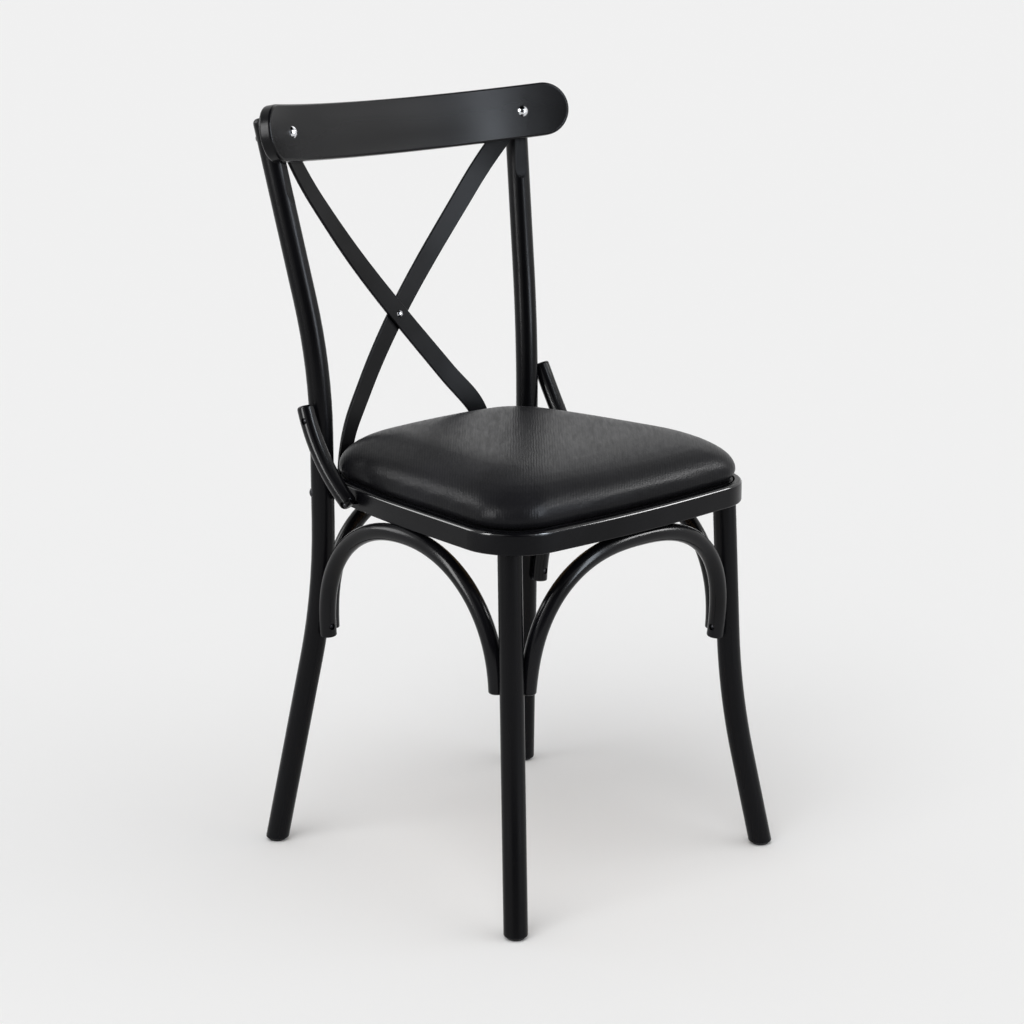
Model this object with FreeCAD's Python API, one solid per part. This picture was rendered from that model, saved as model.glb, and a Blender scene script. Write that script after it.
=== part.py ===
import FreeCAD, Part
import math
import os

# Bentwood chair with a crossed back and a padded drop-in seat.
# Lengths are in millimetres.
# The sitter faces -Y, +Z is up, and the feet stand on Z = 0.
# Left is -X and right is +X, as seen by a person who looks at the front of the chair.

# Fits and small clearances
fit_gap = 0.1
curved_gap = 0.2
bore_gap = 0.15
thread_gap = 0.05

# Leg rods
leg_diameter = 27.0
foot_round = 2.0
glide_diameter = 20.0
glide_height = 3.0
glide_round = 1.0
glide_pin_diameter = 4.0
glide_pin_length = 14.0

# Rear legs, each one rod from the floor to the top rail
rear_foot_x = 206.5
rear_foot_y = 196.5
rear_waist_x = 165.0
rear_waist_y = 148.5
rear_low_bend_z = 313.0
rear_low_bend_reach = 85.0
rear_high_bend_z = 578.0
rear_high_bend_reach = 80.0
rear_top_x = 195.5
rear_top_y = 203.0
rear_top_z = 861.0
rear_top_round = 6.0

# Front legs
front_foot_x = 203.5
front_foot_y = -214.8
front_bend_x = 177.7
front_bend_y = -183.5
front_bend_z = 188.0
front_bend_reach = 75.0
front_top_x = 172.4
front_top_y = -173.0
tenon_diameter = 18.0
tenon_length = 11.0

# Bent seat ring
ring_bottom_z = 423.5
ring_height = 25.0
ring_width = 38.0
ring_front_y = -218.0
ring_front_reach = 100.0
ring_front_corner_x = 209.0
ring_front_corner_y = -204.5
ring_front_corner_reach = 68.0
ring_side_x = 184.0
ring_side_y = 30.0
ring_side_reach = 45.0
ring_rear_corner_x = 153.5
ring_rear_corner_y = 165.5
ring_rear_corner_reach = 42.0
ring_rear_y = 178.0
ring_rear_reach = 90.0
arc_limit_share = 0.48
ring_rim = 8.0
rebate_depth = 11.0
ring_top_round = 4.0
ring_edge_round = 2.0

# Drop-in seat
seat_side_gap = 1.0
board_thickness = 9.0
board_side_gap = 0.8
cover_thickness = 1.2
cover_fold = 16.0
cushion_crown = 68.0
cushion_round_share = 1.00
cushion_inset_shares = (0.020, 0.000, 0.010, 0.113, 0.265, 0.437, 0.614, 0.807, 1.000)
cushion_height_shares = (0.000, 0.232, 0.460, 0.652, 0.792, 0.890, 0.954, 0.989, 1.000)
cushion_roll = 83.0
seat_screw_front_x = 128.0
seat_screw_front_y = -188.0
seat_screw_rear_x = 117.0
seat_screw_rear_y = 147.0
seat_screw_length = 18.0

# Bent arches under the seat
arch_diameter = 20.0
arch_bottom_z = 262.0
arch_bite = 0.3
arch_top_bite = 0.5
arch_foot_run = 6.0
end_arch_power = 2.45
side_arch_power = 2.15
arch_points = 13
front_arch_top_y = -200.5
rear_arch_top_y = 160.0
side_arch_top_x = 185.0
arch_end_round = 2.0
arch_screw_rise = 13.0

# Hip braces between the rear legs and the sides of the ring
brace_diameter = 20.0
brace_top_z = 536.0
brace_bite = 0.8
brace_top_y = 148.5
brace_middle_x = 190.0
brace_middle_y = 124.0
brace_middle_z = 489.0
brace_low_y = 78.0
brace_low_z = 430.0
brace_top_end_round = 3.0
brace_low_end_round = 6.5
brace_top_screw_drop = 15.0
brace_low_screw_z = 432.0

# Top rail, a bent board that leans back
rail_front_radius = 453.0
rail_thickness = 15.0
rail_height = 64.0
rail_half_width = 232.0
rail_middle_y = 207.0
rail_middle_drop = 23.5
rail_lean = 12.0
rail_edge_round = 3.0
rail_bolt_x = 179.5
flat_drop = 31.0
flat_run_radius = 50.0

# Crossed straps
strap_width = 24.4
strap_thickness = 3.8
strap_edge_round = 1.2
strap_top_run = 15.0
strap_sheet_radius = 410.0
strap_shoulder_x = 136.9
strap_shoulder_y = 200.5
strap_shoulder_share = 0.8522
strap_upper_x = 106.0
strap_upper_y = 203.9
strap_upper_share = 0.7494
strap_high_x = 74.0
strap_high_y = 205.5
strap_high_share = 0.6465
strap_cross_y = 201.2
strap_cross_share = 0.4242
strap_low_x = 56.9
strap_low_y = 188.5
strap_low_share = 0.2481
strap_knee_x = 86.1
strap_knee_y = 178.9
strap_knee_share = 0.1581
strap_calf_x = 107.3
strap_calf_y = 171.3
strap_calf_share = 0.081
strap_foot_x = 110.0
strap_foot_z = 427.0
strap_sections = 15
strap_screw_z = 434.0

# Fasteners
rail_bolt_head_diameter = 14.0
rail_bolt_head_height = 4.0
rail_bolt_shank_diameter = 6.0
rail_nut_diameter = 12.0
rail_nut_height = 4.5
rail_nut_sink = 2.0
cross_head_diameter = 9.0
cross_head_height = 2.6
cross_shank_diameter = 4.0
cross_nut_height = 3.0
screw_head_diameter = 7.0
screw_head_height = 2.0
screw_shank_diameter = 4.0
screw_dimple_diameter = 7.6
screw_dimple_depth = 3.5
screw_grip = 9.0
strap_screw_length = 18.0
leg_bolt_head_diameter = 13.0
leg_bolt_head_height = 3.5
leg_bolt_shank_diameter = 6.0
leg_bolt_sink = 1.6
leg_bolt_length = 44.0
leg_bolt_z = 430.5
leg_bolt_aim_x = 120.0
leg_bolt_aim_y = 110.0

# Directions and sides
UP = FreeCAD.Vector(0, 0, 1)
LEFT = -1
RIGHT = 1

os.makedirs("parts", exist_ok=True)


def save(name, shape):
    """Write one node."""
    shape.exportStep("parts/" + name + ".step")


def vec(x, y, z):
    """Return a point or direction."""
    return FreeCAD.Vector(x, y, z)


def flip(point, side):
    """Mirror a right-hand point to the given side."""
    return FreeCAD.Vector(point.x * side, point.y, point.z)


def unit(direction):
    """Return the direction with a length of one."""
    return direction * (1 / direction.Length)


def bend(before, corner, after, reach):
    """Return the tangent points and middle of the arc that rounds a corner."""
    come = unit(corner - before)
    go = unit(after - corner)
    half = come.getAngle(go) / 2
    radius = reach / math.tan(half)
    inward = unit(go - come)
    middle = corner + inward * (radius / math.cos(half) - radius)
    return corner - come * reach, middle, corner + go * reach


def bent_line(points, reaches):
    """Return an open wire of straight runs joined by arcs at the inner points."""
    edges = []
    start = points[0]
    for i in range(1, len(points) - 1):
        p, middle, q = bend(points[i - 1], points[i], points[i + 1], reaches[i - 1])
        edges.append(Part.LineSegment(start, p).toShape())
        edges.append(Part.Arc(p, middle, q).toShape())
        start = q
    edges.append(Part.LineSegment(start, points[-1]).toShape())
    return Part.Wire(edges)


def rod(path, diameter):
    """Sweep a round rod along a wire."""
    first = path.Edges[0]
    begin = first.valueAt(first.FirstParameter)
    heading = first.tangentAt(first.FirstParameter)
    ring = Part.Wire([Part.makeCircle(diameter / 2, begin, heading)])
    return Part.Solid(path.makePipeShell([ring], True, False))


def turned(profile, point, heading):
    """Turn a half profile of (radius, height) points about an axis that leaves point along heading."""
    corners = [vec(r, 0, h) for r, h in profile]
    face = Part.Face(Part.makePolygon(corners + corners[:1]))
    return placed(face.revolve(vec(0, 0, 0), UP, 360), point, heading)


def placed(shape, point, heading):
    """Move a shape from the origin and +Z to a point and heading."""
    turn = FreeCAD.Rotation(UP, heading)
    moved = shape.copy()
    moved.Placement = FreeCAD.Placement(point, turn)
    return moved


def pin(point, heading, diameter, length):
    """Return a cylinder that leaves point along heading."""
    return Part.makeCylinder(diameter / 2, length, point, heading)


def domed(point, heading, diameter, height):
    """Return a domed head whose flat side is at point and whose crown looks along heading."""
    half = diameter / 2
    ball = (half * half + height * height) / (2 * height)
    sphere = Part.makeSphere(ball, vec(0, 0, height - ball))
    keep = Part.makeCylinder(half, height)
    return placed(sphere.common(keep), point, heading)


def screw(point, heading, head_diameter, head_height, shank_diameter, length):
    """Return a screw whose head lies behind point and whose shank runs along heading."""
    head = domed(point, heading * -1, head_diameter, head_height)
    shank = pin(point - heading * (head_height / 4), heading, shank_diameter, length + head_height / 4)
    return head.fuse(shank).removeSplitter()


def nearest_edges(shape, test):
    """Return the edges for whose middle point the test holds."""
    found = []
    for edge in shape.Edges:
        middle = edge.valueAt((edge.FirstParameter + edge.LastParameter) / 2)
        if test(middle, edge):
            found.append(edge)
    return found


# Seat ring outline


def ring_corners(inset, rounding=0):
    """Return the corners of the ring's outline, drawn in by the inset, with the reaches of their arcs."""
    half = [
        (vec(0, ring_front_y, 0), ring_front_reach),
        (vec(ring_front_corner_x, ring_front_corner_y, 0), ring_front_corner_reach),
        (vec(ring_side_x, ring_side_y, 0), ring_side_reach),
        (vec(ring_rear_corner_x, ring_rear_corner_y, 0), ring_rear_corner_reach),
    ]
    rear = [(vec(0, ring_rear_y, 0), ring_rear_reach)]
    mirrored = [(flip(p, LEFT), r) for p, r in reversed(half[1:])]
    outline = half + rear + mirrored
    count = len(outline)
    moved = []
    for i in range(count):
        before = outline[i - 1][0]
        corner, reach = outline[i]
        after = outline[(i + 1) % count][0]
        come = unit(corner - before)
        go = unit(after - corner)
        half_turn = come.getAngle(go) / 2
        radius = reach / math.tan(half_turn) - inset + rounding
        inward = unit(go - come)
        moved.append((corner + inward * (inset / math.cos(half_turn)), radius * math.tan(half_turn)))
    corners = []
    for i in range(count):
        corner, reach = moved[i]
        shorter = min((corner - moved[i - 1][0]).Length, (moved[(i + 1) % count][0] - corner).Length)
        corners.append((corner, min(reach, shorter * arc_limit_share)))
    return corners


def ring_outline(inset, z, rounding=0):
    """Return the closed outline of straight runs and arcs at a height, drawn in by the inset."""
    corners = ring_corners(inset, rounding)
    count = len(corners)
    lift = vec(0, 0, z)
    arcs = []
    for i in range(count):
        before = corners[i - 1][0]
        corner, reach = corners[i]
        after = corners[(i + 1) % count][0]
        arcs.append([p + lift for p in bend(before, corner, after, reach)])
    edges = []
    for i in range(count):
        edges.append(Part.Arc(*arcs[i]).toShape())
        edges.append(Part.LineSegment(arcs[i][2], arcs[(i + 1) % count][0]).toShape())
    return Part.Wire(edges)


def ring_plate(inset, z, height, rounding=0):
    """Return a flat plate with the ring's outline."""
    return Part.Face(ring_outline(inset, z, rounding)).extrude(vec(0, 0, height))


ring_top_z = ring_bottom_z + ring_height
ledge_z = ring_top_z - rebate_depth
rail_middle_z = rear_top_z - rail_middle_drop

# Rear legs


def rear_leg_path(side):
    """Return the centre line of a rear leg from the floor up."""
    points = [
        vec(rear_foot_x, rear_foot_y, 0),
        vec(rear_waist_x, rear_waist_y, rear_low_bend_z),
        vec(rear_waist_x, rear_waist_y, rear_high_bend_z),
        vec(rear_top_x, rear_top_y, rear_top_z),
    ]
    return bent_line([flip(p, side) for p in points], [rear_low_bend_reach, rear_high_bend_reach])


def front_leg_path(side):
    """Return the centre line of a front leg from the floor to the ring."""
    points = [
        vec(front_foot_x, front_foot_y, 0),
        vec(front_bend_x, front_bend_y, front_bend_z),
        vec(front_top_x, front_top_y, ring_bottom_z),
    ]
    return bent_line([flip(p, side) for p in points], [front_bend_reach])


def longer(path, reach):
    """Return the path with straight runs added at both ends."""
    first = path.Edges[0]
    last = path.Edges[-1]
    begin = first.valueAt(first.FirstParameter)
    end = last.valueAt(last.LastParameter)
    low = begin - unit(first.tangentAt(first.FirstParameter)) * reach
    high = end + unit(last.tangentAt(last.LastParameter)) * reach
    tail = Part.LineSegment(low, begin).toShape()
    head = Part.LineSegment(end, high).toShape()
    return Part.Wire([tail] + path.Edges + [head])


def point_at(path, z):
    """Return the point and heading of a rising path at a height."""
    for edge in path.Edges:
        low, high = edge.FirstParameter, edge.LastParameter
        if edge.valueAt(low).z <= z <= edge.valueAt(high).z:
            for _ in range(40):
                middle = (low + high) / 2
                if edge.valueAt(middle).z < z:
                    low = middle
                else:
                    high = middle
            return edge.valueAt(low), unit(edge.tangentAt(low))
    raise ValueError("no such height on the path")


def slab(low_z, high_z):
    """Return a block wider than the chair between two heights."""
    wide = rail_half_width * 3
    return Part.makeBox(wide, wide, high_z - low_z, vec(-wide / 2, -wide / 2, low_z))


def rounded_foot(leg):
    """Round the edge of a leg's sole."""
    sole = nearest_edges(leg, lambda m, e: abs(m.z - glide_height) < foot_round / 4)
    return leg.makeFillet(foot_round, sole)


# Top rail

rail_turn = FreeCAD.Rotation(vec(1, 0, 0), -rail_lean)
rail_place = FreeCAD.Placement(vec(0, rail_middle_y, rail_middle_z), rail_turn)
rail_centre = vec(0, -rail_front_radius, 0)


def rail_frame(x, behind):
    """Return a point of the rail's middle line, behind its front face, and the outward normal there."""
    turn = math.asin(x / rail_front_radius)
    normal = vec(math.sin(turn), math.cos(turn), 0)
    point = rail_centre + normal * (rail_front_radius + behind)
    return rail_place.multVec(point), rail_turn.multVec(normal)


def rail_board(grow):
    """Return the bent rail with half-round ends, grown by a clearance."""
    inner = rail_front_radius - grow
    outer = rail_front_radius + rail_thickness + grow
    height = rail_height + grow * 2
    end_radius = height / 2
    end_turn = math.asin((rail_half_width + grow) / rail_front_radius)
    straight_turn = end_turn - end_radius / rail_front_radius
    base = rail_centre - vec(0, 0, height / 2)

    def sector(turn):
        """Return the part of the bent band within a turn to each side of the middle."""
        start = math.degrees(-turn) + 90
        span = math.degrees(turn) * 2
        big = Part.makeCylinder(outer, height, vec(0, 0, 0), UP, span)
        small = Part.makeCylinder(inner, height, vec(0, 0, 0), UP, span)
        band = big.cut(small)
        band.rotate(vec(0, 0, 0), UP, start)
        band.translate(base)
        return band

    full = sector(end_turn + end_radius / rail_front_radius)
    board = sector(straight_turn)
    for side in (LEFT, RIGHT):
        heading = vec(side * math.sin(straight_turn), math.cos(straight_turn), 0)
        start = rail_centre + heading * (inner - rail_thickness)
        disc = pin(start, heading, height, rail_thickness * 3 + grow * 2)
        board = board.fuse(disc.common(full))
    board = board.removeSplitter()
    return board


def make_rail():
    """Return the finished rail in its leaning place."""
    board = rail_board(0)
    rims = []
    for edge in board.Edges:
        middle = edge.valueAt((edge.FirstParameter + edge.LastParameter) / 2)
        radius = (middle - vec(0, -rail_front_radius, middle.z)).Length
        on_front = abs(radius - rail_front_radius) < fit_gap
        on_back = abs(radius - rail_front_radius - rail_thickness) < fit_gap
        if (on_front or on_back) and edge.Length > rail_thickness / 2:
            rims.append(edge)
    board = board.makeFillet(rail_edge_round, rims)
    board.Placement = rail_place
    return board


# Crossed straps

strap_seat = strap_thickness / 2 + curved_gap
bolt_back, bolt_normal = rail_frame(rail_bolt_x, rail_thickness)
strap_top = bolt_back + bolt_normal * strap_seat


def strap_foot():
    """Return the middle of a strap's foot behind the ring, and the way in which the ring faces there."""
    corner, middle = [pair[0] for pair in ring_corners(0)[3:5]]
    along = unit(middle - corner)
    normal = vec(along.y, -along.x, 0)
    share = (corner.x - strap_foot_x) / (corner.x - middle.x)
    return corner + (middle - corner) * share + normal * strap_seat, normal


foot_point, foot_normal = strap_foot()


def strap_z(share):
    """Return a height from its share of the way from the top of the ring to the middle of the rail."""
    return ring_top_z + (rail_middle_z - ring_top_z) * share


strap_shoulder_z = strap_z(strap_shoulder_share)
strap_upper_z = strap_z(strap_upper_share)
strap_high_z = strap_z(strap_high_share)
strap_cross_z = strap_z(strap_cross_share)
strap_low_z = strap_z(strap_low_share)
strap_knee_z = strap_z(strap_knee_share)
strap_calf_z = strap_z(strap_calf_share)


def strap_points(side, shift):
    """Return the points of a strap's centre line, from the rail on one side to the ring on the other."""
    top = flip(strap_top, side)
    shoulder = vec(strap_shoulder_x * side, strap_shoulder_y, strap_shoulder_z)
    normal = flip(bolt_normal, side)
    rise = unit(top - shoulder)
    rise = unit(rise - normal * rise.dot(normal))
    end = top + rise * strap_top_run
    middle = [
        vec(strap_upper_x * side, strap_upper_y + shift / 2, strap_upper_z),
        vec(strap_high_x * side, strap_high_y + shift, strap_high_z),
        vec(0, strap_cross_y + shift, strap_cross_z),
        vec(-strap_low_x * side, strap_low_y + shift, strap_low_z),
        vec(-strap_knee_x * side, strap_knee_y + shift / 2, strap_knee_z),
        vec(-strap_calf_x * side, strap_calf_y, strap_calf_z),
    ]
    foot = flip(foot_point, -side)
    screw_point = vec(foot.x, foot.y, strap_screw_z)
    foot = vec(foot.x, foot.y, strap_foot_z)
    return [end, top, shoulder] + middle + [screw_point, foot]


def within_one(share):
    """Limit a share to the range from zero to one."""
    return min(max(share, 0), 1)


def strap_facing(point, heading, side):
    """Return the way in which a strap faces, from the rail over the straps' own sheet to the ring."""
    slope = point.x / math.sqrt(strap_sheet_radius * strap_sheet_radius - point.x * point.x)
    lean = (heading.y + slope * heading.x) / heading.z
    sheet = unit(vec(slope, 1, -lean))
    high = within_one((point.z - strap_shoulder_z) / (strap_top.z - strap_shoulder_z))
    low = within_one((strap_calf_z - point.z) / (strap_calf_z - ring_top_z))
    return sheet * (1 - high - low) + flip(bolt_normal, side) * high + flip(foot_normal, -side) * low


def section(point, heading, normal):
    """Return a flat section with rounded edges, across the heading and facing the normal."""
    face_way = unit(normal - heading * normal.dot(heading))
    wide_way = unit(face_way.cross(heading))
    a = strap_width / 2
    b = strap_thickness / 2
    r = strap_edge_round
    k = r * (1 - math.sqrt(0.5))

    def at(u, v):
        """Return a point of the section's own plane."""
        return point + wide_way * u + face_way * v

    edges = []
    signs = [(1, 1), (-1, 1), (-1, -1), (1, -1)]
    for i in range(4):
        s, t = signs[i]
        s2, t2 = signs[(i + 1) % 4]
        upright = s * t > 0
        first = at(s * a, t * (b - r)) if upright else at(s * (a - r), t * b)
        second = at(s * (a - r), t * b) if upright else at(s * a, t * (b - r))
        edges.append(Part.Arc(first, at(s * (a - k), t * (b - k)), second).toShape())
        upright2 = s2 * t2 > 0
        third = at(s2 * a, t2 * (b - r)) if upright2 else at(s2 * (a - r), t2 * b)
        edges.append(Part.LineSegment(second, third).toShape())
    return Part.Wire(edges)


def make_strap(side, shift):
    """Return one strap, lofted through sections along its bent centre line."""
    points = strap_points(side, shift)
    curve = Part.BSplineCurve()
    curve.interpolate(Points=points)
    path = curve.toShape()
    low, high = path.FirstParameter, path.LastParameter
    wires = []
    for i in range(strap_sections):
        share = i / (strap_sections - 1)
        t = low + (high - low) * share
        point = path.valueAt(t)
        heading = unit(path.tangentAt(t))
        wires.append(section(point, heading, strap_facing(point, heading, side)))
    return Part.makeLoft(wires, True, False)


# Arches and braces


def arch_curve(ends, top, power):
    """Return the centre line of an arch, from one end over the top to the other."""
    left, right = ends
    up_way = unit(top - mid(ends))
    foot = up_way * arch_foot_run
    middle = mid(ends) + foot
    half_span = (right - left) * 0.5
    rise = top - middle
    points = []
    for i in range(arch_points):
        turn = math.pi * i / (arch_points - 1)
        across = math.copysign(abs(math.cos(turn)) ** (2 / power), math.cos(turn))
        up = abs(math.sin(turn)) ** (2 / power) if 0 < i < arch_points - 1 else 0
        points.append(middle - half_span * across + rise * up)
    curve = Part.BSplineCurve()
    curve.interpolate(Points=points, InitialTangent=up_way, FinalTangent=up_way * -1, Scale=False)
    crown = (curve.FirstParameter + curve.LastParameter) / 2
    first = Part.LineSegment(left, left + foot).toShape()
    rising = curve.toShape(curve.FirstParameter, crown)
    falling = curve.toShape(crown, curve.LastParameter)
    last = Part.LineSegment(right + foot, right).toShape()
    return Part.Wire([first, rising, falling, last])


def mid(points):
    """Return the middle of two points."""
    return (points[0] + points[1]) * 0.5


def path_at(path, z, rising):
    """Return the point of an arch's centre line at a height, on its rising or its falling side."""
    edge = path.Edges[1] if rising else path.Edges[2]
    below, above = edge.FirstParameter, edge.LastParameter
    if not rising:
        below, above = above, below
    for _ in range(40):
        t = (below + above) / 2
        if edge.valueAt(t).z < z:
            below = t
        else:
            above = t
    return edge.valueAt(below)


def level(direction):
    """Return the level part of a direction, with a length of one."""
    return unit(vec(direction.x, direction.y, 0))


class Fastener:
    """A screw with a domed head, and the holes that it needs."""

    def __init__(self, name, seat, heading, length, head, shank, sink):
        """Store the seat of the head, the way in and the (diameter, height) of the head."""
        self.name = name
        self.seat = seat
        self.heading = unit(heading)
        self.length = length
        self.head = head
        self.shank = shank
        self.sink = sink

    def body(self):
        """Return the screw itself."""
        return screw(self.seat, self.heading, self.head[0], self.head[1], self.shank, self.length)

    def bore(self):
        """Return the hole for the shank."""
        back = self.seat - self.heading * (self.head[1] / 4)
        return pin(back, self.heading, self.shank + bore_gap * 2, self.length + self.head[1] / 4 + fit_gap)

    def pocket(self):
        """Return the recess that lets the head in from outside."""
        start = self.seat - self.heading * leg_diameter
        return pin(start, self.heading, self.sink, leg_diameter + thread_gap)


def drilled(shape, fasteners, recessed):
    """Cut the fasteners' bores, and their pockets where they are recessed."""
    for fastener in fasteners:
        hole = fastener.bore()
        if recessed:
            hole = hole.fuse(fastener.pocket()).removeSplitter()
        shape = shape.cut(hole)
    return shape


def wood_screw(name, seat, heading, length):
    """Return a screw for the wooden joints."""
    head = (screw_head_diameter, screw_head_height)
    return Fastener(name, seat, heading, length, head, screw_shank_diameter, screw_dimple_diameter)


# Centre lines of the legs
rear_paths = {side: longer(rear_leg_path(side), leg_diameter) for side in (LEFT, RIGHT)}
front_paths = {side: longer(front_leg_path(side), leg_diameter) for side in (LEFT, RIGHT)}
side_names = {LEFT: "left", RIGHT: "right"}

# Arches
arch_reach = leg_diameter / 2 + arch_diameter / 2 - arch_bite
arch_top_z = ring_bottom_z - arch_diameter / 2 + arch_top_bite


def arch_line(leg_a, leg_b, top, power):
    """Return the centre line of the arch between two legs."""
    a = point_at(leg_a, arch_bottom_z)[0]
    b = point_at(leg_b, arch_bottom_z)[0]
    way = level(b - a)
    return arch_curve((a + way * arch_reach, b - way * arch_reach), top, power)


arch_specs = {
    "arch_front": (front_paths[LEFT], front_paths[RIGHT], vec(0, front_arch_top_y, arch_top_z)),
    "arch_rear": (rear_paths[LEFT], rear_paths[RIGHT], vec(0, rear_arch_top_y, arch_top_z)),
}
for side in (LEFT, RIGHT):
    ends = (point_at(front_paths[side], arch_bottom_z)[0], point_at(rear_paths[side], arch_bottom_z)[0])
    top = vec(side_arch_top_x * side, mid(ends).y, arch_top_z)
    arch_specs["arch_" + side_names[side]] = (front_paths[side], rear_paths[side], top)

legs_grown = {}
for side in (LEFT, RIGHT):
    legs_grown["rear", side] = rod(rear_paths[side], leg_diameter + fit_gap * 2)
    legs_grown["front", side] = rod(front_paths[side], leg_diameter + fit_gap * 2)

arch_screw_z = arch_bottom_z + arch_screw_rise
screw_sink = arch_diameter / 2 - screw_dimple_depth
arch_screws = {}
arches = {}
leg_screws = {id(path): [] for path in list(rear_paths.values()) + list(front_paths.values())}
ring_screws = []
for name, (leg_a, leg_b, top) in arch_specs.items():
    power = end_arch_power if top.x == 0 else side_arch_power
    line = arch_line(leg_a, leg_b, top, power)
    arch = rod(line, arch_diameter)
    rims = nearest_edges(arch, lambda m, e: m.z < arch_bottom_z + arch_end_round and e.Closed)
    arch = arch.makeFillet(arch_end_round, rims)
    for grown in legs_grown.values():
        arch = arch.cut(grown)
    arch = arch.cut(slab(ring_bottom_z - fit_gap, ring_top_z))
    own = []
    for leg, rising, tag in ((leg_a, True, "_a"), (leg_b, False, "_b")):
        centre = path_at(line, arch_screw_z, rising)
        target = point_at(leg, arch_screw_z)[0]
        heading = level(target - centre)
        reach = (target - centre).Length - leg_diameter / 2 + screw_sink + screw_grip
        fastener = wood_screw(name + "_screw" + tag, centre - heading * screw_sink, heading, reach)
        own.append(fastener)
        leg_screws[id(leg)].append(fastener)
    reach = screw_sink + arch_diameter / 2 + screw_grip
    upright = wood_screw(name + "_screw_top", top - UP * screw_sink, UP, reach)
    ring_screws.append(upright)
    own.append(upright)
    arches[name] = drilled(arch, own, True)
    arch_screws[name] = own

# Hip braces
brace_reach = leg_diameter / 2 + brace_diameter / 2 - brace_bite
ring_hold = ring_plate(-fit_gap, ring_bottom_z - fit_gap, ring_height + fit_gap * 2)
ring_side = ring_plate(-fit_gap, ring_bottom_z - leg_diameter, ring_height + leg_diameter * 2)
braces = {}
brace_screws = []


def side_at(y):
    """Return how far the ring's side lies from the middle at a depth, on its straight run."""
    share = (y - ring_front_corner_y) / (ring_side_y - ring_front_corner_y)
    if y > ring_side_y:
        share = (y - ring_side_y) / (ring_rear_corner_y - ring_side_y)
        return ring_side_x + (ring_rear_corner_x - ring_side_x) * share
    return ring_front_corner_x + (ring_side_x - ring_front_corner_x) * share


for side in (LEFT, RIGHT):
    post = point_at(rear_paths[side], brace_top_z)[0]
    top = vec(post.x + brace_reach * side, brace_top_y, brace_top_z)
    middle = vec(brace_middle_x * side, brace_middle_y, brace_middle_z)
    low = vec((side_at(brace_low_y) + brace_diameter / 2 - brace_bite) * side, brace_low_y, brace_low_z)
    arc = Part.Arc(low, middle, top).toShape()
    line = Part.Wire([arc])
    brace = rod(line, brace_diameter)
    for end, end_round in ((top, brace_top_end_round), (low, brace_low_end_round)):
        rims = nearest_edges(brace, lambda m, e: e.Closed and (m - end).Length < brace_diameter)
        brace = brace.makeFillet(end_round, rims)
    brace = brace.cut(legs_grown["rear", side]).cut(ring_side)
    high_z = brace_top_z - brace_top_screw_drop
    centre = point_at(line, high_z)[0]
    target = point_at(rear_paths[side], high_z)[0]
    heading = level(target - centre)
    reach = (target - centre).Length - leg_diameter / 2 + screw_sink + screw_grip
    name = "brace_" + side_names[side]
    high_screw = wood_screw(name + "_screw_high", centre - heading * screw_sink, heading, reach)
    centre = point_at(line, brace_low_screw_z)[0]
    inward = vec(-side, 0, 0)
    reach = screw_sink + brace_diameter / 2 + screw_grip
    low_screw = wood_screw(name + "_screw_low", centre - inward * screw_sink, inward, reach)
    leg_screws[id(rear_paths[side])].append(high_screw)
    ring_screws.append(low_screw)
    brace_screws += [high_screw, low_screw]
    braces[name] = drilled(brace, [high_screw, low_screw], True)

# Bolts that hold the rear legs to the ring
leg_bolts = {}
for side in (LEFT, RIGHT):
    axis = point_at(rear_paths[side], leg_bolt_z)[0]
    heading = level(vec(leg_bolt_aim_x * side, leg_bolt_aim_y, leg_bolt_z) - axis)
    seat = axis - heading * (leg_diameter / 2 - leg_bolt_sink)
    head = (leg_bolt_head_diameter, leg_bolt_head_height)
    sink = leg_bolt_head_diameter + bore_gap * 4
    name = "leg_bolt_" + side_names[side]
    leg_bolts[side] = Fastener(name, seat, heading, leg_bolt_length, head, leg_bolt_shank_diameter, sink)

# Crossed straps and the fasteners at their ends
strap_shift = strap_thickness / 2 + curved_gap
rail_up = rail_turn.multVec(UP)
seat_depth = curved_gap + strap_thickness + fit_gap
rail_grown = rail_board(fit_gap)
rail_grown.Placement = rail_place
strap_sides = {"strap_front": (LEFT, -strap_shift), "strap_rear": (RIGHT, strap_shift)}


def seat_block(side, depth):
    """Return a block in front of the flat on which a strap meets its post, with a hollow run-out."""
    normal = flip(bolt_normal, side)
    corner = flip(bolt_back, side) + normal * depth
    wide = leg_diameter * 2
    tall = rail_height / 2 + flat_drop
    across = unit(normal.cross(rail_up))
    turn = FreeCAD.Rotation(across, normal, rail_up, "ZXY")
    block = Part.makeBox(wide * 2, wide, tall + rail_height, vec(-wide, -wide, -tall))
    scoop = Part.makeCylinder(flat_run_radius, wide * 2, vec(-wide, -flat_run_radius, -tall), vec(1, 0, 0))
    block = block.fuse(scoop)
    block.Placement = FreeCAD.Placement(corner, turn)
    return block


posts_grown = {}
for side in (LEFT, RIGHT):
    posts_grown[side] = legs_grown["rear", side].cut(seat_block(side, seat_depth - fit_gap / 2))


straps = {}
strap_screws = {}
for name, (side, shift) in strap_sides.items():
    strap = make_strap(side, shift)
    strap = strap.cut(rail_grown)
    strap = strap.cut(posts_grown[side])
    strap = strap.cut(ring_side)
    outward = flip(foot_normal, -side)
    seat = flip(foot_point, -side) + outward * (strap_thickness / 2 + fit_gap)
    seat = vec(seat.x, seat.y, strap_screw_z)
    strap_screws[name] = wood_screw(name + "_screw", seat, outward * -1, strap_screw_length)
    straps[name] = strap

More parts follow.
